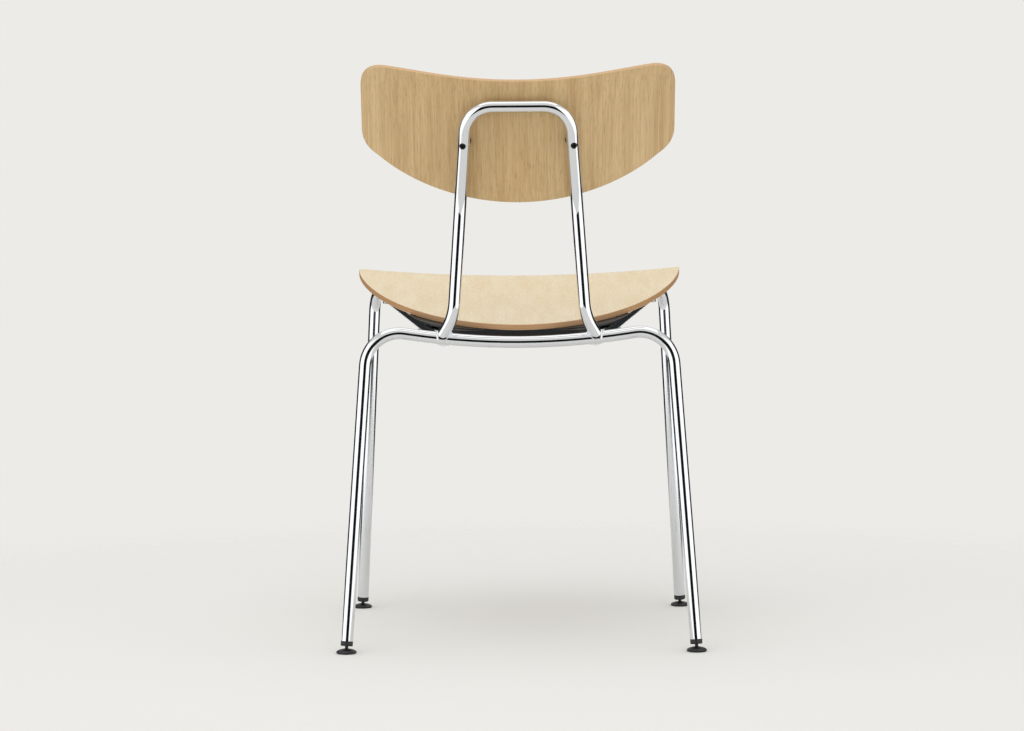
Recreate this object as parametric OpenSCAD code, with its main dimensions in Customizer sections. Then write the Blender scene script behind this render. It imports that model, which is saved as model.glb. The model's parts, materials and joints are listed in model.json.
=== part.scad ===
// Stacking chair: a frame of bent steel tubes welded at the rear crossbar, a moulded plywood
// seat and backrest, black moulded supports, and four glides that tilt on ball ends.
// Millimetres. X is across the chair, the sitter faces -Y, and Z is up from the floor.

/* [Frame tubes] */
// Outside diameter of the frame tubes
tube_d = 16; // [14:0.5:18]
// Wall thickness of the frame tubes
tube_wall = 1.5; // [1:0.1:2]
// Centreline radius of the bends at the tops of the rear legs
leg_bend_r = 45; // [38:1:52]
// Centreline radius of the bends at the tops of the front legs
front_bend_r = 32; // [28:1:40]
// Centreline radius of the knees at the bottom of the back loop
knee_bend_r = 60; // [45:1:75]
// Centreline radius of the bends at the waist, where the loop's sides turn back
waist_bend_r = 160; // [120:5:200]
// Centreline radius of the two top corners of the back loop
loop_bend_r = 37; // [28:1:42]

/* [Feet] */
// Half the distance between the left and right feet
foot_x = 228.5; // [200:0.5:250]
// Distance from the front feet back to the rear feet
feet_spacing = 420; // [380:1:460]

/* [Rear legs] */
// Height of the middle of the rear crossbar's centreline
bar_h = 402.5; // [398:0.5:404]
// How far forward of the rear feet the crossbar lies
bar_set = 50; // [44:1:54]
// Angle at which the ends of the crossbar rise to the sides
bar_rise = 8.5; // [5:0.5:10]
// Half the distance between the rear legs' centrelines at crossbar height
rear_leg_x = 199.5; // [190:0.5:206]

/* [Side rails and front legs] */
// Half the distance between the front corners, where legs and rails meet
front_x = 204; // [195:0.5:210]
// How far behind the front feet the front corners lie
front_set = 35; // [20:1:50]
// Height of the front corners
front_h = 463; // [459:0.5:465]
// Half the distance between the rails where they meet the crossbar
rail_end_x = 98.5; // [90:0.5:106]
// How far below the crossbar's centreline the rails meet it
rail_drop = 3.5; // [2:0.5:5]

/* [Back loop] */
// Height of the top of the loop's centreline
loop_h = 709; // [680:1:740]
// Half the distance between the loop's top corners
loop_x = 67; // [58:0.5:76]
// Height of the waist
waist_h = 580; // [550:1:600]
// Height of the knees
knee_h = 438; // [434:1:444]
// Half the distance between the knees
knee_x = 86; // [80:0.5:90]
// Half the distance between the loop's lower ends on the crossbar
loop_end_x = 103; // [96:0.5:110]
// Angle by which the loop leans back above its waist
lean = 20; // [15:0.5:22]
// Angle by which the loop leans back from its knees to its waist
waist_lean = 5; // [2:0.5:8]
// Angle by which the loop's lower ends lean back up to the knees
end_lean = 25; // [20:0.5:30]

/* [Seat] */
// Thickness of the moulded plywood
ply = 8; // [7:0.5:10]
// Width of the seat
seat_w = 454; // [430:1:480]
// Length of the seat from rear edge to front edge
seat_l = 390; // [370:1:410]
// How far forward of the rear feet the seat's rear edge lies
seat_set = 57; // [54:1:64]
// Height of the top of the seat at the middle of its rear edge
seat_rear_h = 425.5; // [425:0.5:430]
// Slope of the seat at its rear edge
slope_rear = 6.3; // [5:0.1:8]
// Steepest slope of the seat, where the front roll starts
slope_front = 12; // [10:0.1:13]
// Angle by which the front lip turns down
lip_turn = 23; // [15:1:30]
// Radius of the roll over the seat's front edge
lip_r = 140; // [100:5:160]
// Radius of the seat's hollow from side to side
hollow_r = 2400; // [2000:50:3200]

/* [Backrest] */
// Width of the backrest
back_w = 409; // [380:1:440]
// Height of the backrest's middle above its screws, along the lean
back_top = 82.5; // [70:0.5:88]
// Rise of the backrest's top corners above the middle of its top edge
back_rise = 8; // [0:0.5:14]
// Depth of the backrest's middle below its screws, along the lean
back_bottom = 83; // [74:1:92]
// Radius of the backrest round the sitter
back_r = 400; // [370:5:450]
// Radius of the backrest from top to bottom
lumbar_r = 1000; // [800:50:1500]
// Height of the backrest screws above the floor
back_screw_h = 661; // [645:1:672]

/* [Screws] */
// Shank diameter of every screw
screw_d = 5; // [4:0.5:6]
// Outside diameter of every threaded insert
insert_d = 8; // [7.5:0.5:9]
// Depth of every threaded insert in the plywood
insert_l = 5.5; // [4:0.5:6]
// Head diameter of the backrest screws
barrel_d = 8; // [7:0.5:9]
// Head diameter of the seat screws
head_d = 9.5; // [8:0.5:11]
// Distance along each rail from the crossbar to the rear seat screw
rear_screw_at = 112; // [106:1:118]
// Distance along each rail from its front corner to the front seat screw
front_screw_at = 60; // [56:1:80]

/* [Supports] */
// Thickness of the rear support's wings
wing = 2.5; // [2:0.25:3]
// Width of the rear support from tip to tip
support_w = 300; // [270:1:320]
// How far the rear support reaches forward under the seat
support_l = 125; // [118:1:132]
// Length of each front support along its rail
saddle_l = 34; // [28:1:40]
// Width of each front support across its rail
saddle_w = 20; // [18:0.5:24]
// Diameter of the spacers behind the backrest
spacer_d = 14; // [12:0.5:15]

/* [Glides] */
// Diameter of each glide disc
glide_d = 26.5; // [24:0.5:30]
// Height of each glide disc
glide_h = 5.5; // [5:0.1:6]
// Height of the ball's centre above the floor
ball_h = 4.2; // [4.2:0.1:4.5]
// Radius of the ball on each plug
ball_r = 3.2; // [3:0.1:3.3]
// Distance along each leg from the ball's centre to the plug's collar
neck_l = 5.2; // [4.8:0.1:6]
// Length of the collar below each tube end
collar_l = 6.5; // [5:0.5:8]
// Length of the spigot inside each tube end
spigot_l = 18; // [14:1:24]

/* [Clearances] */
// Radial running clearance of each ball in its socket
ball_gap = 0.05; // [0.02:0.01:0.1]
// Gap between the pieces that are clamped together
seat_gap = 0.1; // [0.05:0.05:0.3]
// Radial clearance of a screw in its hole
screw_gap = 0.25; // [0.2:0.05:0.5]

/* [Hidden] */
SIDES = ["left", "right"];
CORNERS = ["rear_left", "rear_right", "front_left", "front_right"];

// The sitter's left is +X.
SIGNS = [1, -1];
chrome = [0.8, 0.81, 0.82];
black = [0.09, 0.09, 0.1];
oak = [0.86, 0.76, 0.6];
steel = [0.6, 0.6, 0.62];
tube_r = tube_d / 2;
bore_r = tube_r - tube_wall;
hole_r = screw_d / 2 + screw_gap;
insert_r = insert_d / 2;
head_r = head_d / 2;
head_h = 3;
barrel_r = barrel_d / 2;
// A bend is this much fatter than the straights, whose ends sit this far inside it.
swell = 0.03;
tuck = 0.8;
// The tubes that end on the crossbar stop this far from it, inside the weld.
weld_gap = 0.1;
// How far a bead of weld reaches out from the tubes on both sides of its corner.
bead = 1.6;
// The backrest stays this far in front of the loop's top.
back_clear = 1.2;
fine = 48;
smooth = 96;
broad = 240;

function unit(v) = v / norm(v);
function flip(p) = [-p.x, p.y, p.z];
function mirrored(path) = concat(path, [for (i = [len(path) - 1 : -1 : 0]) flip(path[i])]);
function sided(p, side) = [side * p.x, p.y, p.z];
function bezier(p, t) =
    pow(1 - t, 3) * p[0] + 3 * pow(1 - t, 2) * t * p[1] + 3 * (1 - t) * t * t * p[2] + pow(t, 3) * p[3];
function curve(p, n) = [for (i = [0 : n - 1]) bezier(p, i / n)];
function backwards(list) = [for (i = [len(list) - 1 : -1 : 0]) list[i]];
function both_halves(half) = concat(half, [for (p = backwards(half)) if (p.x > 0) [-p.x, p.y]]);

// Lengths run back from the rear feet, and the finished chair is centred front to back.
knee_set = (knee_h - bar_h) * tan(end_lean) - bar_set;
waist_set = knee_set + (waist_h - knee_h) * tan(waist_lean);
top_set = waist_set + (loop_h - waist_h) * tan(lean);
shift_y = (seat_set + seat_l - top_set - tube_r) / 2;
function at(x, y, z) = [x, y + shift_y, z];

front_foot = at(foot_x, -feet_spacing, ball_h);
rear_foot = at(foot_x, 0, ball_h);
foot_l = neck_l + collar_l;
function tube_end(foot, corner) = foot + foot_l * unit(corner - foot);

// The crossbar sags along an arc that ends bar_flat short of the rear legs.
bar_flat = 1.25 * leg_bend_r;
bar_r = (rear_leg_x - bar_flat) / sin(bar_rise);
function bar_z(x) = bar_h + bar_r - sqrt(bar_r * bar_r - x * x);
bar_middle_h = bar_h - bar_r * (1 / cos(bar_rise) - 1);
rear_corner = at(rear_leg_x, -bar_set, bar_middle_h + rear_leg_x * tan(bar_rise));
rear_path = concat(
    [tube_end(rear_foot, rear_corner), rear_corner, at(0, -bar_set, bar_middle_h)],
    [flip(rear_corner), flip(tube_end(rear_foot, rear_corner))]
);
rear_radii = [0, leg_bend_r, bar_r, leg_bend_r, 0];

// The back loop rises from the crossbar, with its sides drawing together towards the top.
function side_x(z) = knee_x - (knee_x - loop_x) * (z - knee_h) / (loop_h - knee_h);
loop_end = at(loop_end_x, -bar_set, bar_z(loop_end_x));
loop_path = mirrored([
    loop_end, at(knee_x, knee_set, knee_h), at(side_x(waist_h), waist_set, waist_h), at(loop_x, top_set, loop_h)
]);
loop_radii = [0, knee_bend_r, waist_bend_r, loop_bend_r, loop_bend_r, waist_bend_r, knee_bend_r, 0];

// A rail runs forward from the crossbar and turns down into a front leg.
rail_end = at(rail_end_x, -bar_set, bar_z(rail_end_x) - rail_drop);
front_corner = at(front_x, front_set - feet_spacing, front_h);
rail = unit(front_corner - rail_end);
front_path = [tube_end(front_foot, front_corner), front_corner, rail_end + tube_r / 2 * rail];

// Puts children at o with their own axes along x, y and z.
module frame_at(o, x, y, z) {
    multmatrix([[x.x, y.x, z.x, o.x], [x.y, y.y, z.y, o.y], [x.z, y.z, z.z, o.z], [0, 0, 0, 1]])
        children();
}

// Puts children at o with their Z axis along z and their Y axis square to z and near to up.
module along(o, z, up) {
    x = unit(cross(up, z));
    frame_at(o, x, cross(z, x), z) children();
}

// The tube's section, solid when inner is 0.
module section(outer, inner) {
    difference() {
        circle(r = outer, $fn = fine);
        if (inner > 0)
            circle(r = inner, $fn = fine);
    }
}

module bend(corner, from, to, radius, outer, inner) {
    turn = acos(from * to);
    normal = unit(cross(from, to));
    inward = cross(normal, from);
    centre = corner - radius * tan(turn / 2) * from + radius * inward;
    frame_at(centre, -inward, from, normal)
        rotate_extrude(angle = turn, $fn = radius > 200 ? 4 * broad : smooth)
            translate([radius, 0])
                section(outer + swell, inner > 0 ? inner - swell : 0);
}

// A tube along straight runs with a bend of the given radius at each corner between them.
module sweep(path, radii, outer, inner) {
    last = len(path) - 1;
    runs = [for (i = [0 : last - 1]) unit(path[i + 1] - path[i])];
    trims = [for (i = [0 : last]) i == 0 || i == last ? 0
        : radii[i] * tan(acos(runs[i - 1] * runs[i]) / 2) - tuck * sqrt(radii[i] / leg_bend_r)];
    for (i = [0 : last - 1])
        along(path[i] + trims[i] * runs[i], runs[i], abs(runs[i].z) > 0.9 ? [0, 1, 0] : [0, 0, 1])
            linear_extrude(norm(path[i + 1] - path[i]) - trims[i] - trims[i + 1])
                section(outer, inner);
    for (i = [1 : last - 1])
        bend(path[i], runs[i - 1], runs[i], radii[i], outer, inner);
}

// The frame's tubes as solids that are gap wider all round, for cutting what fits them.
module loop_room(gap) {
    sweep(loop_path, loop_radii, tube_r + gap, 0);
}

module bar_room(gap) {
    sweep(rear_path, rear_radii, tube_r + gap, 0);
}

module tube_room(gap) {
    loop_room(gap);
    bar_room(gap);
    for (side = SIGNS)
        sweep([for (p = front_path) sided(p, side)], [0, front_bend_r, 0], tube_r + gap, 0);
}

// The seat's profile is a long hollow that ends in a roll over the front edge.
roll_l = lip_r * (sin(slope_front) + sin(lip_turn));
hollow_l = seat_l - roll_l;
hollow_curve = hollow_l / (sin(slope_front) - sin(slope_rear));
roll_start_h = seat_rear_h + hollow_curve * (cos(slope_rear) - cos(slope_front));
lip_h = roll_start_h + lip_r * (cos(lip_turn) - cos(slope_front));
seat_rear_y = at(0, -seat_set, 0).y;
hollow_axis_h = hollow_r + seat_rear_h;
spill = 20;
hollow_n = 8;
roll_n = 10;
hollow_slopes = [for (i = [0 : hollow_n - 1]) slope_rear + (slope_front - slope_rear) * i / hollow_n];
roll_slopes = [for (i = [0 : roll_n]) slope_front - (slope_front + lip_turn) * i / roll_n];
// Each point holds its distance from the rear edge, its height and the slope there.
seat_top = concat(
    [[-spill, seat_rear_h - spill * tan(slope_rear), slope_rear]],
    [for (a = hollow_slopes)
        [hollow_curve * (sin(a) - sin(slope_rear)), seat_rear_h + hollow_curve * (cos(slope_rear) - cos(a)), a]],
    [for (a = roll_slopes)
        [hollow_l + lip_r * (sin(slope_front) - sin(a)), roll_start_h + lip_r * (cos(a) - cos(slope_front)), a]],
    [[seat_l + spill, lip_h - spill * tan(lip_turn), -lip_turn]]
);
// The profile at a depth below the seat's top, as distance from the hollow's axis and Y.
function seat_line(depth) = [for (p = seat_top)
    [hollow_axis_h - p[1] + depth * cos(p[2]), seat_rear_y - p[0] - depth * sin(p[2])]];
// Height of the seat's underside over a point, where the profile is still the long hollow.
function underside(x, y) =
    let (s = seat_rear_y - y + hollow_curve * sin(slope_rear))
    let (drop = sqrt(pow(hollow_curve + ply, 2) - s * s) - hollow_curve * cos(slope_rear))
    hollow_axis_h - sqrt(pow(hollow_r + drop, 2) - x * x);
// Distance from p to the seat's underside along n.
function reach(p, n, t = 0, tries = 5) =
    tries == 0 ? t : let (q = p + t * n) reach(p, n, t + (underside(q.x, q.y) - q.z) / n.z, tries - 1);

// What lies between two depths below the seat's top, curved like the seat.
module seat_layer(shallow, deep) {
    half_angle = asin(seat_w / 2 / hollow_r) + 1;
    frame_at([0, 0, hollow_axis_h], [0, 0, -1], [-1, 0, 0], [0, 1, 0])
        rotate_extrude(angle = 2 * half_angle, start = -half_angle, $fn = broad)
            polygon(concat(seat_line(shallow), backwards(seat_line(deep))));
}

// Half of the seat's outline in plan, from the rear middle to the front middle, as X and length.
widest = 0.85 * seat_l;
seat_half = concat(
    curve([[0, 0], [0.275 * seat_w, 0], [seat_w / 2, 0.56 * seat_l], [seat_w / 2, widest]], 14),
    curve([[seat_w / 2, widest], [seat_w / 2, 0.98 * seat_l], [0.32 * seat_w, seat_l], [0, seat_l]], 14),
    [[0, seat_l]]
);

// A plan outline of X and length from the seat's rear edge, cut right through from z = low to high.
module in_plan(outline, low, high) {
    translate([0, seat_rear_y, low])
        linear_extrude(high - low)
            mirror([0, 1])
                polygon(both_halves(outline));
}

// Points on a rail where a seat screw passes, measured from its rear end or front corner.
rear_screw = rail_end + rear_screw_at * rail;
front_screw = front_corner - front_screw_at * rail;
SCREW_POINTS = [rear_screw, front_screw];
screw_up = unit([0, 0, 1] - rail.z * rail);

// Children stand on a rail's centreline with X along the rail and Z up to the seat.
module on_rail(point, side) {
    x = sided(rail, side);
    z = sided(screw_up, side);
    frame_at(sided(point, side), x, cross(z, x), z) children();
}

module at_seat_screws() {
    for (point = SCREW_POINTS, side = SIGNS)
        on_rail(point, side) let ($reach = reach(point, screw_up)) children();
}

// The backrest's own frame: X across, Y up the lean and Z forward out of the loop's plane.
up_lean = [0, sin(lean), cos(lean)];
forward = [0, -cos(lean), sin(lean)];
back_origin = at(0, waist_set + (back_screw_h - waist_h) * tan(lean), back_screw_h);
function lumbar(v) = lumbar_r - sqrt(lumbar_r * lumbar_r - v * v);
loop_top_v = (loop_h - back_screw_h) / cos(lean);
back_front = tube_r + back_clear + lumbar(loop_top_v);
back_axis = back_front + back_r;
back_screw_x = side_x(back_screw_h);
back_screw_turn = atan(back_screw_x / back_axis);
back_reach = norm([back_screw_x, back_axis]) - back_r;
screw_forward = cos(back_screw_turn) * forward - sin(back_screw_turn) * [1, 0, 0];

// Children stand on an upright's centreline with Z along the screw, towards the backrest.
module on_upright(side) {
    z = sided(screw_forward, side);
    frame_at(back_origin + [side * back_screw_x, 0, 0], cross(up_lean, z), up_lean, z) children();
}

// Half of the backrest's outline, from the top middle round to the bottom middle.
half_back = back_w / 2;
shoulder = back_top + back_rise;
shoulder_x = 0.84 * half_back;
side_top = 0.72 * back_top;
flank = [0.89 * half_back, -0.41 * back_bottom];
back_half = concat(
    curve([[0, back_top], [0.4 * half_back, back_top], [0.6 * half_back, shoulder], [shoulder_x, shoulder]], 6),
    curve([[shoulder_x, shoulder], [0.93 * half_back, shoulder], [half_back, 0.97 * back_top], [half_back, side_top]], 8),
    [[half_back, side_top]],
    curve([[half_back, 0], [half_back, -0.22 * back_bottom], [0.96 * half_back, -0.32 * back_bottom], flank], 6),
    curve([flank, [0.715 * half_back, -0.715 * back_bottom], [0.39 * half_back, -back_bottom], [0, -back_bottom]], 14),
    [[0, -back_bottom]]
);

module back_loop() {
    color(chrome)
        difference() {
            sweep(loop_path, loop_radii, tube_r, bore_r);
            bar_room(weld_gap);
            for (side = SIGNS)
                on_upright(side) {
                    translate([0, 0, -tube_d])
                        cylinder(r = barrel_r + screw_gap, h = tube_d, $fn = fine);
                    cylinder(r = hole_r, h = tube_d, $fn = fine);
                }
        }
}

module rear_leg_tube() {
    color(chrome)
        sweep(rear_path, rear_radii, tube_r, bore_r);
}

module front_leg(side) {
    color(chrome)
        difference() {
            sweep([for (p = front_path) sided(p, side)], [0, front_bend_r, 0], tube_r, bore_r);
            bar_room(weld_gap);
            loop_room(weld_gap);
            for (point = SCREW_POINTS)
                on_rail(point, side)
                    translate([0, 0, -tube_d])
                        cylinder(r = hole_r, h = 2 * tube_d, $fn = fine);
        }
}

// A bead of weld fills the corner between the crossbar and each tube that ends on it.
module weld_beads() {
    color(steel)
        difference() {
            intersection() {
                bar_room(bead);
                for (side = SIGNS) {
                    along(sided(loop_end, side), sided(unit(loop_path[1] - loop_end), side), [0, 1, 0])
                        cylinder(r = tube_r + bead, h = 2 * tube_d, $fn = fine);
                    along(sided(rail_end, side), sided(rail, side), [0, 0, 1])
                        cylinder(r = tube_r + bead, h = 2 * tube_d, $fn = fine);
                }
            }
            tube_room(swell);
        }
}

module seat() {
    color(oak)
        difference() {
            intersection() {
                seat_layer(0, ply);
                in_plan(seat_half, seat_rear_h - 2 * spill, seat_rear_h + 6 * spill);
            }
            at_seat_screws()
                translate([0, 0, $reach - insert_l])
                    cylinder(r = insert_r, h = 2 * insert_l + seat_gap, $fn = fine);
        }
}

module backrest() {
    steps = [for (i = [0 : 14]) -back_bottom - spill + (back_top + back_bottom + 2 * spill) * i / 14];
    half_angle = asin(half_back / back_r) + 6;
    color(oak)
        difference() {
            intersection() {
                frame_at(back_origin + back_axis * forward, -forward, [-1, 0, 0], up_lean)
                    rotate_extrude(angle = 2 * half_angle, start = -half_angle, $fn = broad)
                        polygon(concat(
                            [for (v = steps) [back_r + lumbar(v), v]],
                            [for (v = backwards(steps)) [back_r + lumbar(v) - ply, v]]
                        ));
                frame_at(back_origin - spill * forward, [1, 0, 0], up_lean, -cross(up_lean, [1, 0, 0]))
                    linear_extrude(half_back)
                        polygon(both_halves(back_half));
            }
            for (side = SIGNS)
                on_upright(side)
                    translate([0, 0, back_reach - insert_l])
                        cylinder(r = insert_r, h = 2 * insert_l + seat_gap, $fn = fine);
        }
}

// The rear support's wings lie under the seat, and its body bridges the rails and the crossbar.
module rear_support() {
    rear_edge = 2;
    body_l = 0.5 * support_l;
    body_foot = bar_h + tube_r - 1.5;
    wing_tip = [support_w / 2, 0.78 * support_l];
    wing_half = concat(
        curve([[0, rear_edge], [0.36 * support_w, rear_edge], [0.44 * support_w, 0.37 * support_l], wing_tip], 12),
        curve([wing_tip, [0.44 * support_w, support_l], [0.3 * support_w, support_l], [0, support_l]], 8),
        [[0, support_l]]
    );
    body_half = [
        [0, rear_edge], [0.8 * rail_end_x, rear_edge], [rail_end_x + 0.3 * tube_d, 0.16 * support_l],
        [rail_end_x + 1.2 * tube_d, body_l], [0, body_l]
    ];
    color(black)
        difference() {
            union() {
                intersection() {
                    seat_layer(ply + seat_gap, ply + seat_gap + wing);
                    in_plan(wing_half, seat_rear_h - 2 * spill, seat_rear_h + 2 * spill);
                }
                intersection() {
                    seat_layer(ply + seat_gap + wing / 2, ply + 2 * spill);
                    in_plan(body_half, body_foot, seat_rear_h + spill);
                }
            }
            tube_room(seat_gap);
            at_seat_screws()
                cylinder(r = hole_r, h = 2 * tube_d, $fn = fine);
        }
}

// The seat's normal at a point under it, from its heights step mm to each side.
function seat_normal(p, step = 5) = unit([
    underside(p.x - step, p.y) - underside(p.x + step, p.y),
    underside(p.x, p.y - step) - underside(p.x, p.y + step),
    2 * step
]);

// A pad on each rail near the front, cut square to the seat above it.
module front_support(side) {
    top = front_screw + reach(front_screw, screw_up) * screw_up;
    normal = seat_normal(top);
    color(black)
        difference() {
            on_rail(front_screw, side)
                translate([0, 0, tube_r / 2]) {
                    linear_extrude(tube_d)
                        square([saddle_l - saddle_w, saddle_w], center = true);
                    for (end = [-1, 1])
                        translate([end * (saddle_l - saddle_w) / 2, 0])
                            cylinder(r = saddle_w / 2, h = tube_d, $fn = fine);
                }
            along(sided(top - seat_gap * normal, side), sided(normal, side), [0, 1, 0])
                cylinder(r = saddle_l, h = tube_d, $fn = fine);
            tube_room(seat_gap);
            on_rail(front_screw, side)
                cylinder(r = hole_r, h = 2 * tube_d, $fn = fine);
        }
}

module back_spacer(side) {
    color(black)
        difference() {
            on_upright(side)
                translate([0, 0, tube_r / 2])
                    cylinder(r = spacer_d / 2, h = back_reach - tube_r / 2 - seat_gap, $fn = fine);
            tube_room(seat_gap);
            on_upright(side)
                cylinder(r = hole_r, h = 2 * tube_d, $fn = fine);
        }
}

// Barrel-headed screws: each head stands on the inside of the tube's front wall.
module back_screws() {
    sunk = 0.8;
    key_r = 0.3 * barrel_d;
    key_depth = 3;
    head_end = sqrt(bore_r * bore_r - barrel_r * barrel_r) - seat_gap;
    color(black)
        for (side = SIGNS)
            on_upright(side)
                difference() {
                    union() {
                        translate([0, 0, sunk - tube_r])
                            cylinder(r = barrel_r, h = tube_r - sunk + head_end, $fn = fine);
                        cylinder(r = screw_d / 2, h = back_reach + insert_l - 2 * seat_gap, $fn = fine);
                    }
                    translate([0, 0, sunk - tube_r - key_depth])
                        cylinder(r = key_r, h = 2 * key_depth, $fn = 6);
                }
}

module insert(start) {
    translate([0, 0, start + seat_gap])
        linear_extrude(insert_l - seat_gap)
            section(insert_r - seat_gap / 2, screw_d / 2 + seat_gap / 2);
}

module back_inserts() {
    color(steel)
        for (side = SIGNS)
            on_upright(side)
                insert(back_reach);
}

module seat_inserts() {
    color(steel)
        at_seat_screws()
            insert($reach);
}

module seat_screws() {
    color(steel)
        at_seat_screws() {
            translate([0, 0, -tube_r - head_h])
                cylinder(r = head_r, h = head_h - seat_gap / 2, $fn = fine);
            translate([0, 0, -tube_r - head_h / 2])
                cylinder(r = screw_d / 2, h = tube_r + head_h / 2 + $reach + insert_l - 2 * seat_gap, $fn = fine);
        }
}

// A plug with a spigot in the tube, a collar as wide as the tube, a neck and a ball.
module plug(foot, corner) {
    neck_r = 0.7 * ball_r;
    top = neck_l + collar_l;
    chamfer = 0.8;
    lead_in = 2;
    spigot_r = bore_r - seat_gap;
    tip_r = bore_r - 1;
    color(black)
        along(foot, unit(corner - foot), [0, 1, 0]) {
            sphere(r = ball_r, $fn = smooth);
            rotate_extrude($fn = smooth)
                polygon([
                    [0, 0], [neck_r, 0], [neck_r, neck_l], [tube_r - chamfer, neck_l],
                    [tube_r, neck_l + chamfer], [tube_r, top - seat_gap], [spigot_r, top - seat_gap],
                    [spigot_r, top + spigot_l - lead_in], [tip_r, top + spigot_l], [0, top + spigot_l]
                ]);
        }
}

// A flat disc with a chamfered rim, which grips the ball above its middle.
module glide(foot) {
    rim = glide_d / 2;
    hub = 2 * ball_r;
    foot_edge = 1.2;
    bevel = 3;
    color(black)
        translate([foot.x, foot.y, 0])
            difference() {
                rotate_extrude($fn = smooth)
                    polygon([
                        [0, 0], [rim - foot_edge, 0], [rim, foot_edge], [rim, 0.45 * glide_h],
                        [rim - bevel, 0.8 * glide_h], [hub, glide_h], [0, glide_h]
                    ]);
                translate([0, 0, ball_h])
                    sphere(r = ball_r + ball_gap, $fn = smooth);
            }
}

FOOT_POINTS = [rear_foot, flip(rear_foot), front_foot, flip(front_foot)];
LEG_TOPS = [rear_corner, flip(rear_corner), front_corner, flip(front_corner)];

back_loop();
rear_leg_tube();
weld_beads();
seat();
backrest();
rear_support();
for (i = [0 : 1]) {
    front_leg(SIGNS[i]);
    front_support(SIGNS[i]);
    back_spacer(SIGNS[i]);
}
back_screws();
back_inserts();
seat_screws();
seat_inserts();
for (i = [0 : 3]) {
    plug(FOOT_POINTS[i], LEG_TOPS[i]);
    glide(FOOT_POINTS[i]);
}
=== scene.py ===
# %% [markdown]
# # A stacking chair in chrome tube and moulded oak plywood
# The frame of steel tubes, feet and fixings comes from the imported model. This lesson gives each of
# those pieces its finish, and builds the seat and the backrest again as finer shells, because
# smooth moulded plywood shows every facet of a coarse one.

# %% Load the frame
import json
from math import cos, radians, sin, tan

import bpy
import numpy as np
from mathutils import Matrix, Vector


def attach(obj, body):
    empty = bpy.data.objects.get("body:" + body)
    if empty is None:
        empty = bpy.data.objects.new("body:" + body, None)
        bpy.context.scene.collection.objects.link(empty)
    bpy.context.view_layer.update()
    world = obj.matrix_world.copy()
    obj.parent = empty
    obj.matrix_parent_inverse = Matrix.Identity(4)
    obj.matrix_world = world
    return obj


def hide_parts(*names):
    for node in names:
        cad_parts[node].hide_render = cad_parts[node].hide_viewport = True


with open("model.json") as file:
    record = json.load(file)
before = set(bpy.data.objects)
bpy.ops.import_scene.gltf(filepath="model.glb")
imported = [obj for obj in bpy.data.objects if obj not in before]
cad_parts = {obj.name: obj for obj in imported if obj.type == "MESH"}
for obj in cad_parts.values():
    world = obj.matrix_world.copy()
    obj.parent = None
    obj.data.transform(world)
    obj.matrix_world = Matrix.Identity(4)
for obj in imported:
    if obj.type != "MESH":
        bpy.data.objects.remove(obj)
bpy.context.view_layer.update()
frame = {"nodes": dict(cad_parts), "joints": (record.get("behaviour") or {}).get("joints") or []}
nodes = frame["nodes"]

# %% [markdown]
# ## Driving sizes
# Lengths are in metres. The feet's places come from the joints of the tilting glides, and every
# other place is measured back from the rear feet, as a chair maker's drawing would.

# %% Sizes
MM = 0.001
joints = {joint["name"]: joint["pos_m"] for joint in frame["joints"]}
rear_y = joints["glide_tilt_rear_left"][1]
tube_r = 8 * MM
ply = 8 * MM
edge_round = 1.2 * MM
lean = radians(20)
print("rear feet at y =", round(rear_y, 4))

# %% [markdown]
# ## The camera
# The chair is seen from behind, a little above the seat, through a long lens that keeps its sides
# nearly parallel. The camera's own axes are worked out from its pitch, yaw and roll, in radians.
# The lens is given as a multiple of the picture's width.

# %% Camera
camera_place = Vector((-0.0015, 3.9596 + rear_y, 0.6281))
pitch, yaw, roll = 0.0639, -0.0029, 0.0068
focal_in_widths = 2.98828125
sensor = 36.0

right = Vector((-cos(yaw), sin(yaw), 0))
level = Vector((-sin(yaw), -cos(yaw), 0))
ahead = level * cos(pitch) + Vector((0, 0, -sin(pitch)))
up = right.cross(ahead)
right, up = right * cos(roll) - up * sin(roll), right * sin(roll) + up * cos(roll)

camera_data = bpy.data.cameras.new("camera")
camera_data.sensor_width = sensor
camera_data.lens = focal_in_widths * sensor
camera = bpy.data.objects.new("camera", camera_data)
camera_axes = Matrix((right, up, -ahead)).transposed().to_4x4()
camera.matrix_world = Matrix.Translation(camera_place) @ camera_axes
bpy.context.scene.collection.objects.link(camera)
bpy.context.scene.camera = camera
print("lens", round(camera_data.lens, 1), "mm")

# %% [markdown]
# ## Helpers for materials
# Colours are written as sRGB hex values, the way a paint chart gives them. One function turns them
# into the linear numbers that the shaders use. Another adds a node with its settings and links.

# %% Material helpers
def linear(hex_colour):
    """sRGB hex to linear: c / 12.92 below 0.04045, else ((c + 0.055) / 1.055) to the power 2.4."""
    srgb = np.array([int(hex_colour[i:i + 2], 16) for i in (1, 3, 5)]) / 255
    value = np.where(srgb <= 0.04045, srgb / 12.92, ((srgb + 0.055) / 1.055) ** 2.4)
    return (*value.tolist(), 1.0)


def add(tree, kind, settings=None, **inputs):
    """Adds a node. Settings are its properties, and inputs are values or sockets to link.

    An input is named with _ for each space, or by its number, as _0 for the first.
    """
    node = tree.nodes.new(kind)
    for name, value in (settings or {}).items():
        setattr(node, name, value)
    for name, value in inputs.items():
        socket = node.inputs[int(name[1:]) if name[1:].isdigit() else name.replace("_", " ")]
        if isinstance(value, bpy.types.NodeSocket):
            tree.links.new(value, socket)
        else:
            socket.default_value = value
    return node


def material(name, **shader):
    """A new material with one Principled shader, its tree and that shader."""
    made = bpy.data.materials.new(name)
    made.use_nodes = True
    tree = made.node_tree
    tree.nodes.clear()
    principled = add(tree, "ShaderNodeBsdfPrincipled", **shader)
    output = add(tree, "ShaderNodeOutputMaterial")
    tree.links.new(principled.outputs[0], output.inputs[0])
    return made, tree, principled


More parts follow.
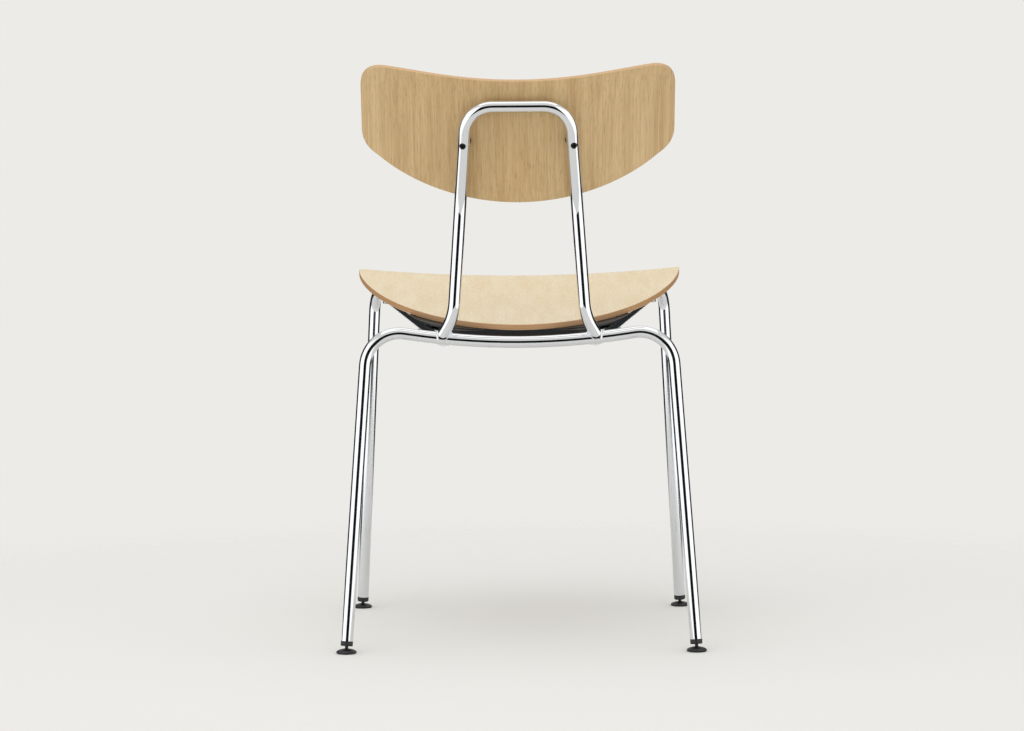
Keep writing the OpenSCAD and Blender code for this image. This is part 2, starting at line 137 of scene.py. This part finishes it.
def noise(tree, detail, per_metre=1.0, squeeze=(1, 1, 1), turn=(0, 0, 0)):
    """Noise on Object coordinates in metres, which are turned and then squeezed along each axis."""
    point = {"vector_type": "POINT"}
    place = add(tree, "ShaderNodeTexCoord").outputs["Object"]
    turned = add(tree, "ShaderNodeMapping", point, Vector=place, Rotation=turn).outputs[0]
    scaled = add(tree, "ShaderNodeMapping", point, Vector=turned, Scale=squeeze).outputs[0]
    return add(tree, "ShaderNodeTexNoise", Vector=scaled, Scale=per_metre, Detail=detail).outputs[0]


def ramp(tree, factor, stops):
    """A colour ramp through (position, colour) stops."""
    node = add(tree, "ShaderNodeValToRGB", Fac=factor)
    elements = node.color_ramp.elements
    for element, (position, colour) in zip([elements[0], elements[1]], stops[:2]):
        element.position, element.color = position, colour
    for position, colour in stops[2:]:
        elements.new(position).color = colour
    return node.outputs["Color"]


print("helpers ready")

# %% [markdown]
# ## Chrome plate
# The tube is bent steel, polished and then plated with nickel and chromium. Chromium is a nearly
# neutral mirror, so almost all that it shows is the room. Polishing leaves faint waves a few
# centimetres long, which a slow bump gives, and fine wipe marks that change the gloss a little.

# %% Chrome
def chrome_plate(name, wave_height, roughness):
    """A mirror with waves of the given height, in metres, and up to twice the roughness in wipes."""
    made, tree, shader = material(name, Base_Color=linear("#DDDFE2"), Metallic=1.0)
    waves = noise(tree, detail=1.0, per_metre=45.0)
    bump = add(tree, "ShaderNodeBump", Height=waves, Strength=1.0, Distance=wave_height)
    wipes = noise(tree, detail=3.0, per_metre=160.0)
    gloss = add(tree, "ShaderNodeMapRange", Value=wipes, From_Min=0.35, From_Max=0.75,
                To_Min=roughness, To_Max=roughness * 2)
    tree.links.new(gloss.outputs[0], shader.inputs["Roughness"])
    tree.links.new(bump.outputs[0], shader.inputs["Normal"])
    return made


chrome = chrome_plate("chrome plate on bent tube", 0.02 * MM, 0.03)
weld_chrome = chrome_plate("chrome plate over weld", 0.6 * MM, 0.10)
print(chrome.name, "and", weld_chrome.name)

# %% [markdown]
# ## Moulded black plastic and dark steel
# The feet, spacers and supports are injection-moulded nylon. A spark-eroded mould leaves a fine
# grit, about 0.4 mm across, that scatters the highlights. The screws are black oxide steel, which
# is smoother and a little metallic, and hidden fixings are plain zinc plate.

# %% Plastic and screws
def gritty(name, colour, roughness, grit, height, metallic=0.0, gloss_spread=0.08):
    """A surface with a grain of the given size and height, in metres, and uneven gloss."""
    made, tree, shader = material(name, Base_Color=linear(colour), Metallic=metallic)
    grain = noise(tree, detail=2.0, per_metre=1 / grit)
    bump = add(tree, "ShaderNodeBump", Height=grain, Strength=0.6, Distance=height)
    rub = noise(tree, detail=2.0, per_metre=120.0)
    gloss = add(tree, "ShaderNodeMapRange", Value=rub,
                To_Min=roughness - gloss_spread, To_Max=roughness + gloss_spread)
    tree.links.new(gloss.outputs[0], shader.inputs["Roughness"])
    tree.links.new(bump.outputs[0], shader.inputs["Normal"])
    return made


nylon = gritty("black moulded nylon", "#17181A", 0.45, 0.4 * MM, 0.05 * MM)
oxide = gritty("black oxide steel", "#202022", 0.34, 0.3 * MM, 0.02 * MM, metallic=0.6)
zinc = gritty("zinc-plated steel", "#A9ABAD", 0.30, 0.8 * MM, 0.02 * MM, metallic=1.0)
print(nylon.name, oxide.name, zinc.name)

# %% [markdown]
# ## Oak veneer on plywood
# The faces are rift-cut oak veneer under a satin lacquer: straight grain, with soft bands a
# centimetre or two wide, narrow growth lines a few millimetres apart and short dark pores about
# 0.3 mm wide. Noise that is squeezed across the grain and stretched along it gives all three.
# The edge shows the layers of the plywood. Each vertex stores its depth in the board, in
# millimetres. The colour swings from glue to wood and back as that depth grows, layer by layer.

# %% Wood
veneer_mm = 0.65
layer_mm = 1.35
mid_mm = ply / MM / 2
pore_depth = 0.06 * MM


def mix(tree, factor, first, second):
    """The colour (1 - factor) first + factor second."""
    node = add(tree, "ShaderNodeMix", {"data_type": "RGBA"}, _0=factor, _6=first, _7=second)
    return node.outputs[2]


def oak(name, pale, dark, pore, edge, glue, turn=(0, 0, 0)):
    """Oak whose grain runs along the turned Y axis. Colours are hex values."""
    made, tree, shader = material(name, Metallic=0.0)
    bands = noise(tree, detail=3.0, squeeze=(70, 2.2, 70), turn=turn)
    lines = noise(tree, detail=4.0, squeeze=(420, 5, 420), turn=turn)
    pores = noise(tree, detail=2.0, squeeze=(1300, 45, 1300), turn=turn)
    mixed = add(tree, "ShaderNodeMix", {"data_type": "FLOAT"}, _0=0.55, _2=bands, _3=lines)
    figure = ramp(tree, mixed.outputs[0], [(0.36, linear(dark)), (0.62, linear(pale))])
    mask = add(tree, "ShaderNodeMapRange", Value=pores, From_Min=0.56, From_Max=0.70, To_Max=0.55)
    face = mix(tree, mask.outputs[0], figure, linear(pore))
    depth = add(tree, "ShaderNodeAttribute", {"attribute_name": "ply_depth"}).outputs["Fac"]
    swing = add(tree, "ShaderNodeMath", {"operation": "PINGPONG"}, _0=depth, _1=layer_mm)
    seam = add(tree, "ShaderNodeMapRange", Value=swing.outputs[0], From_Min=0.0, From_Max=layer_mm)
    layers = mix(tree, seam.outputs[0], linear(glue), linear(edge))
    inside = add(tree, "ShaderNodeMath", {"operation": "COMPARE"},
                 _0=depth, _1=mid_mm, _2=mid_mm - veneer_mm)
    wood = mix(tree, inside.outputs[0], face, layers)
    tree.links.new(wood, shader.inputs["Base Color"])
    gloss = add(tree, "ShaderNodeMapRange", Value=lines, To_Min=0.42, To_Max=0.58)
    tree.links.new(gloss.outputs[0], shader.inputs["Roughness"])
    bump = add(tree, "ShaderNodeBump", {"invert": True},
               Height=mask.outputs[0], Strength=0.5, Distance=pore_depth)
    tree.links.new(bump.outputs[0], shader.inputs["Normal"])
    return made


seat_oak = oak("oak veneer, seat", pale="#EADABB", dark="#E0CBA3", pore="#C8A97C",
               edge="#C79A68", glue="#B58657")
# The backrest is the same oak as the seat, given a darker and warmer colour: painted shade for its rear
# face, which turns down and away from the lamp. The seat's colours are the oak's own.
back_oak_painted_shade = oak("oak veneer, backrest, painted shade", pale="#D9B985", dark="#C29E68", pore="#97764A",
               edge="#D3AC7C", glue="#C09466", turn=(-radians(90) + lean, 0, 0))
print(seat_oak.name, "and", back_oak_painted_shade.name)

# %% [markdown]
# ## Outlines
# Both boards are cut to a shape drawn with a few cubic curves, mirrored about the middle. The
# outline is then spaced evenly by arc length, so that the mesh has even columns.

# %% Outline helpers
def bezier(points, count):
    """Cubic curve (1-t)^3 a + 3 (1-t)^2 t b + 3 (1-t) t^2 c + t^3 d at count values of t from 0 to 1."""
    a, b, c, d = np.array(points, float)
    t = np.linspace(0, 1, count)[:, None]
    return (1 - t) ** 3 * a + 3 * (1 - t) ** 2 * t * b + 3 * (1 - t) * t ** 2 * c + t ** 3 * d


def outline(half, count=480):
    """A half outline mirrored in X and spaced evenly by arc length, anticlockwise."""
    half = np.array(half)
    whole = np.concatenate([half, half[::-1] * [-1, 1]])
    keep = np.concatenate([[True], np.linalg.norm(np.diff(whole, axis=0), axis=1) > 1e-6])
    whole = np.concatenate([whole[keep], whole[:1]])
    length = np.concatenate([[0], np.cumsum(np.linalg.norm(np.diff(whole, axis=0), axis=1))])
    even = np.linspace(0, length[-1], count, endpoint=False)
    ring = np.stack([np.interp(even, length, whole[:, axis]) for axis in (0, 1)], axis=1)
    area = np.sum(ring[:, 0] * np.roll(ring[:, 1], -1) - ring[:, 1] * np.roll(ring[:, 0], -1))
    return ring if area > 0 else ring[::-1]


def inward(ring):
    """Unit normals that point into a closed anticlockwise ring: its smoothed tangent turned left."""
    tangent = np.roll(ring, -2, axis=0) - np.roll(ring, 2, axis=0)
    tangent /= np.linalg.norm(tangent, axis=1)[:, None]
    return np.stack([-tangent[:, 1], tangent[:, 0]], axis=1)


print("outline helpers ready")

# %% [markdown]
# ## Moulded boards
# A board is a grid of rings. Rings shrink from the middle of the edge towards the centre of each
# face, and a quarter circle rounds the edge between. The shape of the press gives the height of
# each face over any point of the outline's plane, so the shell closes exactly.

# %% Board builder
def board(name, ring, top, bottom, place, edge_r, rings=44):
    """A closed shell between the faces top(u, v) and bottom(u, v), put in space by place(u, v, w).

    Each grid row is a ring. Round the edge it is inset from the outline by e (1 - sin a) and sunk
    from its face by e (1 - cos a), where e is edge_r. On the faces it is scaled about the centre,
    and the rings lie a little closer together towards the edge.
    """
    normal = inward(ring)
    inner = ring + edge_r * normal
    centre = inner.mean(axis=0)
    scales = np.linspace(0.004, 1, rings) ** 0.8
    turns = np.radians([15, 30, 45, 60, 75, 90])
    rows = [centre + scale * (inner - centre) for scale in scales]
    rows += [ring + edge_r * (1 - sin(a)) * normal for a in turns]
    side = len(rows)
    grid = np.stack(rows + rows[::-1])
    u, v = grid[..., 0], grid[..., 1]
    drop = np.array([0.0] * rings + [edge_r * (1 - cos(a)) for a in turns])[:, None]
    w = np.concatenate([top(u[:side], v[:side]) - drop, bottom(u[side:], v[side:]) + drop[::-1]])
    points = place(u, v, w).reshape(-1, 3)
    row_count, column_count = grid.shape[:2]
    index = np.arange(row_count * column_count).reshape(row_count, column_count)
    right_of = np.roll(index, -1, axis=1)
    quads = np.stack([index[1:], right_of[1:], right_of[:-1], index[:-1]], axis=-1).reshape(-1, 4)
    caps = [index[0].tolist(), index[-1][::-1].tolist()]
    mesh = bpy.data.meshes.new(name)
    mesh.from_pydata(points.tolist(), [], quads.tolist() + caps)
    depth = np.concatenate([drop, ply - drop[::-1]]) / MM
    values = np.repeat(depth.ravel(), column_count).astype(np.float32)
    mesh.attributes.new("ply_depth", "FLOAT", "POINT").data.foreach_set("value", values)
    mesh.polygons.foreach_set("use_smooth", np.ones(len(mesh.polygons), bool))
    mesh.update()
    made = bpy.data.objects.new(name, mesh)
    bpy.context.scene.collection.objects.link(made)
    print(name, "has", len(mesh.polygons), "faces")
    return made


# %% [markdown]
# ## The seat
# The seat is pressed as a long shallow hollow that steepens towards the front and then rolls over
# the edge, so that it doesn't cut into the legs. It is dished from side to side on a 2.4 m radius.

# %% Seat
seat_w, seat_l, seat_set, seat_rear_h = 454 * MM, 390 * MM, 57 * MM, 425.5 * MM
slope_rear, slope_front, lip_turn = radians(6.3), radians(12), radians(23)
lip_r, dish_r = 140 * MM, 2400 * MM
hollow_l = seat_l - lip_r * (sin(slope_front) + sin(lip_turn))
hollow_r = hollow_l / (sin(slope_front) - sin(slope_rear))
roll_h = seat_rear_h + hollow_r * (cos(slope_rear) - cos(slope_front))
seat_rear_y = rear_y - seat_set


def seat_top(x, s):
    """Height at x across and s forward of the rear edge: an arc, then the front roll, both dished.

    On an arc of radius r the sine of the slope changes by s / r, and the height by r (1 - cos).
    """
    in_roll = sin(slope_front) - (s - hollow_l) / lip_r
    sine = np.where(s < hollow_l, sin(slope_rear) + s / hollow_r, in_roll)
    cosine = np.sqrt(1 - np.clip(sine, -0.9, 0.9) ** 2)
    hollow = seat_rear_h + hollow_r * (cos(slope_rear) - cosine)
    roll = roll_h + lip_r * (cosine - cos(slope_front))
    axis_h = dish_r + seat_rear_h
    return axis_h - np.sqrt((axis_h - np.where(s < hollow_l, hollow, roll)) ** 2 - x * x)


def seat_bottom(x, s, step=0.5 * MM):
    """The top lowered by the board's thickness over the cosine of the slope there."""
    along = (seat_top(x, s + step) - seat_top(x, s - step)) / (2 * step)
    across = (seat_top(x + step, s) - seat_top(x - step, s)) / (2 * step)
    return seat_top(x, s) - ply * np.sqrt(1 + along ** 2 + across ** 2)


def lay_seat(x, s, z):
    """The point at x across, s forward of the rear edge and z up."""
    return np.stack([-x, seat_rear_y - s, z], axis=-1)


widest = 0.85 * seat_l
seat_half = np.concatenate([
    bezier([(0, 0), (0.275 * seat_w, 0), (seat_w / 2, 0.56 * seat_l), (seat_w / 2, widest)], 200),
    bezier([(seat_w / 2, widest), (seat_w / 2, 0.98 * seat_l), (0.32 * seat_w, seat_l), (0, seat_l)], 200),
])
seat = board("seat_board", outline(seat_half), seat_top, seat_bottom, lay_seat, edge_round)
seat.data.materials.append(seat_oak)
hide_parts("seat")
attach(seat, "frame")

# %% [markdown]
# ## The backrest
# The backrest bends round the sitter on a 400 mm radius and swells forward a little at the small
# of the back. Its plane leans with the top of the loop that carries it.

# %% Backrest
back_w, back_top, back_rise, back_bottom = 409 * MM, 82.5 * MM, 8 * MM, 83 * MM
back_r, lumbar_r, back_clear = 400 * MM, 1000 * MM, 1.2 * MM
lower_lean, waist_lean = radians(25), radians(5)
loop_h, knee_h, waist_h, screw_h = 709 * MM, 438 * MM, 580 * MM, 661 * MM
bar_h, bar_set = 402.5 * MM, 50 * MM
waist_set = (knee_h - bar_h) * tan(lower_lean) - bar_set + (waist_h - knee_h) * tan(waist_lean)
back_origin = np.array([0, rear_y + waist_set + (screw_h - waist_h) * tan(lean), screw_h])
up_lean = np.array([0, sin(lean), cos(lean)])
forward = np.array([0, -cos(lean), sin(lean)])


def lumbar(v):
    """Sagitta of the lumbar arc at height v from the screws."""
    return lumbar_r - np.sqrt(lumbar_r ** 2 - v ** 2)


back_axis = tube_r + back_clear + lumbar((loop_h - screw_h) / cos(lean)) + back_r


def back_rear(u, v):
    """How far forward of the loop's plane the rear face lies: the axis less a circle round it."""
    return back_axis - np.sqrt((back_r + lumbar(v)) ** 2 - u ** 2)


def back_front(u, v):
    """The front face, nearer to the axis by the board's thickness."""
    return back_axis - np.sqrt((back_r + lumbar(v) - ply) ** 2 - u ** 2)


half = back_w / 2
shoulder = back_top + back_rise
flank = (0.89 * half, -0.41 * back_bottom)
crest = (0.84 * half, shoulder)
back_half = np.concatenate([
    bezier([(0, back_top), (0.4 * half, back_top), (0.6 * half, shoulder), crest], 120),
    bezier([crest, (0.93 * half, shoulder), (half, 0.97 * back_top), (half, 0.72 * back_top)], 80),
    bezier([(half, 0), (half, -0.22 * back_bottom), (0.96 * half, -0.32 * back_bottom), flank], 60),
    bezier([flank, (0.715 * half, -0.715 * back_bottom), (0.39 * half, -back_bottom),
            (0, -back_bottom)], 160),
])


def lay_on_back(u, v, w):
    """The point w forward of the loop's plane, at u across and v up the lean."""
    across = np.array([1.0, 0, 0])
    return back_origin + u[..., None] * across + v[..., None] * up_lean + w[..., None] * forward


backrest = board("backrest_board", outline(back_half), back_front, back_rear, lay_on_back, edge_round)
# The backrest's oak is darkened as painted shade.
backrest.data.materials.append(back_oak_painted_shade)
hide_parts("backrest")
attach(backrest, "frame")

# %% [markdown]
# ## Finishes on the frame
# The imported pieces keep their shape. Each takes the finish of its kind, by name.

# %% Finishes
finishes = {
    "back_loop": chrome, "rear_leg_tube": chrome, "front_leg": chrome, "weld_beads": weld_chrome,
    "rear_support": nylon, "front_support": nylon, "back_spacer": nylon,
    "plug": nylon, "glide": nylon,
    "back_screws": oxide, "back_inserts": zinc, "seat_screws": zinc, "seat_inserts": zinc,
}
for name, node in nodes.items():
    for start, finish in finishes.items():
        if name.startswith(start):
            node.data.materials.clear()
            node.data.materials.append(finish)
print(len(nodes), "packed pieces finished")

# %% [markdown]
# ## The studio
# Chrome is only as good as the room it shows. The room is pale, with white panels to both sides
# and above, dark grey panels beyond them, and a black gap behind the camera. The panels are seen
# in reflections only, so the light on the wood stays plain and even.

# %% World
world = bpy.data.worlds.new("pale room")
world.use_nodes = True
tree = world.node_tree
tree.nodes.clear()
ray = add(tree, "ShaderNodeLightPath").outputs
either = {"operation": "MAXIMUM"}
seen = add(tree, "ShaderNodeMath", either, _0=ray["Is Camera Ray"], _1=ray["Is Glossy Ray"])
seen = add(tree, "ShaderNodeMath", either, _0=seen.outputs[0], _1=ray["Is Transmission Ray"])
shown = add(tree, "ShaderNodeBackground", Color=linear("#ECEBE7"), Strength=1.0)
light = add(tree, "ShaderNodeBackground", Color=linear("#F4F4F4"), Strength=0.92)
both = add(tree, "ShaderNodeMixShader", _0=seen.outputs[0], _1=light.outputs[0], _2=shown.outputs[0])
add(tree, "ShaderNodeOutputWorld", Surface=both.outputs[0])
bpy.context.scene.world = world
bpy.context.scene.view_settings.view_transform = "Standard"
print("world ready")


# %% Panels that only reflections see
def stage_plane(name, corners, finish):
    """A flat rectangle through four corners, which belongs to the studio and not to the chair."""
    mesh = bpy.data.meshes.new(name)
    mesh.from_pydata(corners, [], [(0, 1, 2, 3)])
    mesh.materials.append(finish)
    made = bpy.data.objects.new(name, mesh)
    bpy.context.scene.collection.objects.link(made)
    return made


def level_plane(name, reach, rear_reach, height, finish):
    """A level rectangle that reaches as far forward as to each side, and rear_reach to the rear."""
    corners = [(-reach, -reach), (reach, -reach), (reach, rear_reach), (-reach, rear_reach)]
    return stage_plane(name, [(*corner, height) for corner in corners], finish)


def glow(name, colour, strength):
    """A material that shines evenly."""
    made = bpy.data.materials.new(name)
    made.use_nodes = True
    made.node_tree.nodes.clear()
    emission = add(made.node_tree, "ShaderNodeEmission", Color=linear(colour), Strength=strength)
    add(made.node_tree, "ShaderNodeOutputMaterial", Surface=emission.outputs[0])
    return made


def reflected(panel):
    """Hides a panel from every ray but the reflected ones."""
    panel.visible_camera = panel.visible_diffuse = panel.visible_shadow = False
    panel.visible_transmission = panel.visible_volume_scatter = False


def panel(name, azimuth_from, azimuth_to, low, high, finish, distance=3.0):
    """An upright panel between two azimuths in degrees: 0 is behind the chair, and 90 is +X."""
    ends = [(distance * sin(radians(a)), distance * cos(radians(a))) for a in (azimuth_from, azimuth_to)]
    corners = [(*ends[0], low), (*ends[1], low), (*ends[1], high), (*ends[0], high)]
    reflected(stage_plane(name, corners, finish))


white_card = glow("white card", "#FFFFFF", 1.45)
black_card = glow("black card", "#17181A", 1.0)
grey_card = glow("grey card", "#2C2F31", 1.0)
panel("dark_gap", -24, 24, -1.0, 2.0, black_card, distance=4.6)
for side in (-1, 1):
    panel(f"soft_box_{side}", side * 26, side * 92, -0.6, 2.6, white_card)
    panel(f"flag_{side}", side * 94, side * 158, -0.6, 2.2, grey_card)
reflected(level_plane("overhead_box", reach=1.6, rear_reach=1.8, height=3.2, finish=white_card))
print("panels ready")

# %% [markdown]
# ## Floor and lamp
# The floor is a pale sheet that fades out away from the chair, so it has no horizon and keeps the
# chair's soft shadow. One large lamp above gives the seat its light.

# %% Floor
fade_from, fade_to, floor_reach = 0.55, 1.5, 1.6
floor_material, tree, shader = material("pale floor", Base_Color=linear("#EDECE8"), Roughness=0.9)
place = add(tree, "ShaderNodeNewGeometry")
distance = add(tree, "ShaderNodeVectorMath", {"operation": "LENGTH"}, Vector=place.outputs["Position"])
fade = add(tree, "ShaderNodeMapRange", {"interpolation_type": "SMOOTHSTEP"},
           Value=distance.outputs["Value"], From_Min=fade_from, From_Max=fade_to)
clear = add(tree, "ShaderNodeBsdfTransparent")
blend = add(tree, "ShaderNodeMixShader",
            _0=fade.outputs[0], _1=shader.outputs[0], _2=clear.outputs[0])
output = next(node for node in tree.nodes if node.type == "OUTPUT_MATERIAL")
tree.links.new(blend.outputs[0], output.inputs[0])
level_plane("floor", floor_reach, floor_reach, height=-0.2 * MM, finish=floor_material)
print("floor ready")


# %% Lamp
def lamp(name, place, target, size, power):
    """A square area lamp at place, turned towards target."""
    data = bpy.data.lights.new(name, "AREA")
    data.size = size
    data.energy = power
    made = bpy.data.objects.new(name, data)
    made.location = place
    made.rotation_euler = (Vector(target) - Vector(place)).to_track_quat("-Z", "Y").to_euler()
    made.visible_glossy = False
    bpy.context.scene.collection.objects.link(made)


lamp("overhead", (0.3, 0.9, 2.8), (0, 0, 0.4), 2.4, 18)
print("lamp ready")
